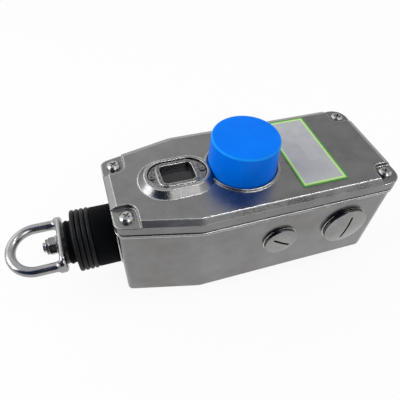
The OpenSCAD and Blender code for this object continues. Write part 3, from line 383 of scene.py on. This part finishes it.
def gaiter_outside(mouth, tube_end, rib_end, end, rib_r):
    """The gaiter's outside from its mouth on the case, over its ribs, to its neck on the shaft."""
    tube_r = rib_r - TUBE_IN
    groove = rib_r - RIB_DEPTH
    tube = [(mouth + (tube_end - mouth) * i / TUBE_RINGS, tube_r) for i in range(1, TUBE_RINGS)]
    points = offsets(mouth, tube_r, MOUTH) + tube + offsets(tube_end, tube_r, TUBE_FOOT)
    for rib in range(RIBS):
        for i in range(RIB_STEPS):
            a = math.pi * (i + 0.5) / RIB_STEPS
            points.append((tube_end - (rib + 0.5 - RIB_HALF * math.cos(a)) * RIB_PITCH,
                           groove + RIB_DEPTH * math.sin(a) ** RIB_FULLNESS))
    points += offsets(rib_end, groove, FALL) + offsets(rib_end, NECK_R, FOOT)
    return points + offsets(end, NECK_R, BEAD)


def make_gaiter():
    """The rubber gaiter, which is fixed to the case at its tube and to the shaft at its neck."""
    lo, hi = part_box("gaiter")
    z = (lo.z + hi.z) / 2
    tube_end = hi.x - TUBE_L
    rib_end = tube_end - RIBS * RIB_PITCH
    bore_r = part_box("shaft_seal")[1].y + FIT - SEAL_SECTION + GAP
    spigot_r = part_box("nose_bush")[1].y + FIT
    bellows_r = hi.y - RIB_DEPTH - WALL
    neck_in, tube_in = rib_end + NECK_WALL, tube_end + TUBE_LIP
    outside = gaiter_outside(hi.x, tube_end, rib_end, lo.x, hi.y)
    inside = [(lo.x, bore_r), (neck_in, bore_r), (neck_in, bellows_r), (tube_in, bellows_r),
              (tube_in, spigot_r), (hi.x, spigot_r)]
    piece = bpy.data.objects.new("gaiter_bellows", revolve(outside + inside, z, AROUND))
    bpy.context.scene.collection.objects.link(piece)
    piece.data.materials.append(MATERIALS["rubber"])
    piece.data.materials.append(MATERIALS["gloss_and_sheen"])
    # The ribs take the glossier rubber with the painted sheen, the tube and neck the plain one
    for face in piece.data.polygons:
        face.material_index = int(rib_end + FALL[-1][0] < face.center.x < tube_end)
    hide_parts("gaiter")
    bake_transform(piece)


def flexing(name):
    """A spring, which is held by the case at one end along an axis and moves with a body at the other, as a
    plain copy of its mesh in place of the part, which is hidden.
    """
    piece = bpy.data.objects.new(name + "_wire", nodes[name].data.copy())
    bpy.context.scene.collection.objects.link(piece)
    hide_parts(name)
    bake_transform(piece)


make_gaiter()
flexing("tension_spring")
flexing("reset_spring")
flexing("carrier_springs")
flexing("latch_spring")


# ---- floor and studio ----

FLOOR_COLOUR = (0.9, 0.9, 0.9)
FLOOR_WHITE = 0.92          # how much of the floor's look is plain white, the rest keeps the shadow
FLOOR_SIZE, FLOOR_GAP = 8, 0.0002


def white_for_camera(s):
    """The Light Path node, and 1 for the rays that see the white background straight or through glass."""
    path = s.nodes.new("ShaderNodeLightPath")
    return path, s.maths("MAXIMUM", path.outputs["Is Camera Ray"], path.outputs["Is Transmission Ray"])


def floor_material():
    """White paper to the camera, glass and steel, and plain pale paper to all other light."""
    s = Surface("studio_floor")
    s.set(base_color=FLOOR_COLOUR, roughness=0.9)
    path, seen = white_for_camera(s)
    seen = s.maths("MAXIMUM", seen, path.outputs["Is Glossy Ray"])
    look = s.add("ShaderNodeMixShader", "Shader", {
        "Fac": s.maths("MULTIPLY", seen, FLOOR_WHITE), 1: s.bsdf.outputs["BSDF"],
        2: s.add("ShaderNodeEmission", "Emission", {"Color": WHITE})})
    s.feed(s.nodes["Material Output"].inputs["Surface"], look)
    return s.block


bpy.ops.mesh.primitive_plane_add(size=FLOOR_SIZE, location=(0, 0, -FLOOR_GAP))
floor = bpy.context.object
floor.name = "floor"
floor.data.materials.append(floor_material())

# The plain studio shows white in steel and glass, and lights everything else with these levels
HORIZON, OVERHEAD = 0.74, 0.52
# What hangs round the object and is mirrored in its steel: direction, its radius and the soft edge round
# it, both in degrees, and its level
CARDS = [
    ("dark cloth in front", (-0.25, -0.90, 0.35), 24, 14, (0.041, 0.041, 0.047)),
    ("dark ceiling", (-0.08, -0.20, 0.976), 9, 10, (0.027, 0.027, 0.027)),
    ("grey ceiling", (0.46, -0.24, 0.85), 8, 8, (0.135, 0.135, 0.142)),
    ("dark coat left of the camera", (-0.80, -0.47, 0.30), 15, 9, (0.02, 0.061, 0.189)),
    ("camera and its stand", (-0.49, -0.46, 0.74), 16, 10, (0.016, 0.04, 0.10)),
    ("dark arm over the camera", (-0.15, -0.47, 0.87), 9, 8, (0.016, 0.054, 0.162)),
    ("panel front right", (0.28, -0.73, 0.63), 8, 7, (4.0, 4.0, 4.0)),
    ("panel back left", (-0.55, 0.67, 0.50), 14, 12, (1.9, 1.9, 1.9)),
    ("grey wall behind right", (0.72, 0.50, 0.48), 16, 18, (0.6, 0.6, 0.6)),
]


def make_studio():
    """The world: the plain studio, with the cards hung round the object, and white behind it all."""
    world = bpy.data.worlds.new("studio")
    bpy.context.scene.world = world
    s = Shader(world)
    here = s.add("ShaderNodeTexCoord", "Generated", {})
    sky = s.ramp(s.upward(here), HORIZON, OVERHEAD, 0.0, 1.0)
    path, seen = white_for_camera(s)
    level = s.mix(path.outputs["Is Glossy Ray"], sky, WHITE)
    for label, towards, radius, soft, value in CARDS:
        near = s.add("ShaderNodeVectorMath", "Value", {0: here, 1: Vector(towards).normalized()},
                     operation="DOT_PRODUCT", label=label)
        card = s.add("ShaderNodeMapRange", "Result", {
            "Value": near, "From Min": math.cos(math.radians(radius + soft)),
            "From Max": math.cos(math.radians(radius))}, interpolation_type="SMOOTHSTEP")
        level = s.mix(card, level, value)
    s.feed(s.nodes["Background"].inputs["Color"], s.mix(seen, level, WHITE))


def softbox(name, where, size, watts, target):
    """A soft rectangular lamp that faces its target."""
    light = bpy.data.lights.new(name, "AREA")
    light.shape = "RECTANGLE"
    light.size, light.size_y = size
    light.energy = watts
    ob = bpy.data.objects.new(name, light)
    bpy.context.scene.collection.objects.link(ob)
    ob.location = where
    facing = Vector(where) - Vector(target)
    if facing.x or facing.y:
        ob.rotation_euler = facing.to_track_quat("Z", "Y").to_euler()


make_studio()
softbox("left", (-0.80, 0.06, 0.48), (0.42, 0.42), 3.4, target=(0, 0, 0.04))
softbox("overhead", (0.405, -0.015, 0.80), (0.64, 0.08), 1.5, target=(0.405, -0.015, 0))


# ---- camera, fitted to the photograph ----

SENSOR = 36                 # millimetres
PICTURE = 400               # pixels
FOCAL = 400.51              # pixels
PLACE = (-0.08992, -0.16030, 0.23554)
SPIN = Vector((2.39519, -0.35609, 0.19055))             # axis times angle, in radians

cam = bpy.data.cameras.new("camera")
cam.sensor_width = SENSOR
cam.lens = FOCAL * SENSOR / PICTURE
cam.clip_start = 0.01
camera = bpy.data.objects.new("camera", cam)
bpy.context.scene.collection.objects.link(camera)
# The rows of the turn are the camera's right, down and forward in the part's frame
right, down, ahead = Matrix.Rotation(SPIN.length, 3, SPIN)
turn = Matrix((right, -down, -ahead)).transposed()
camera.matrix_world = Matrix.Translation(PLACE) @ turn.to_4x4()
bpy.context.scene.camera = camera

bpy.context.scene.view_settings.view_transform = "Standard"
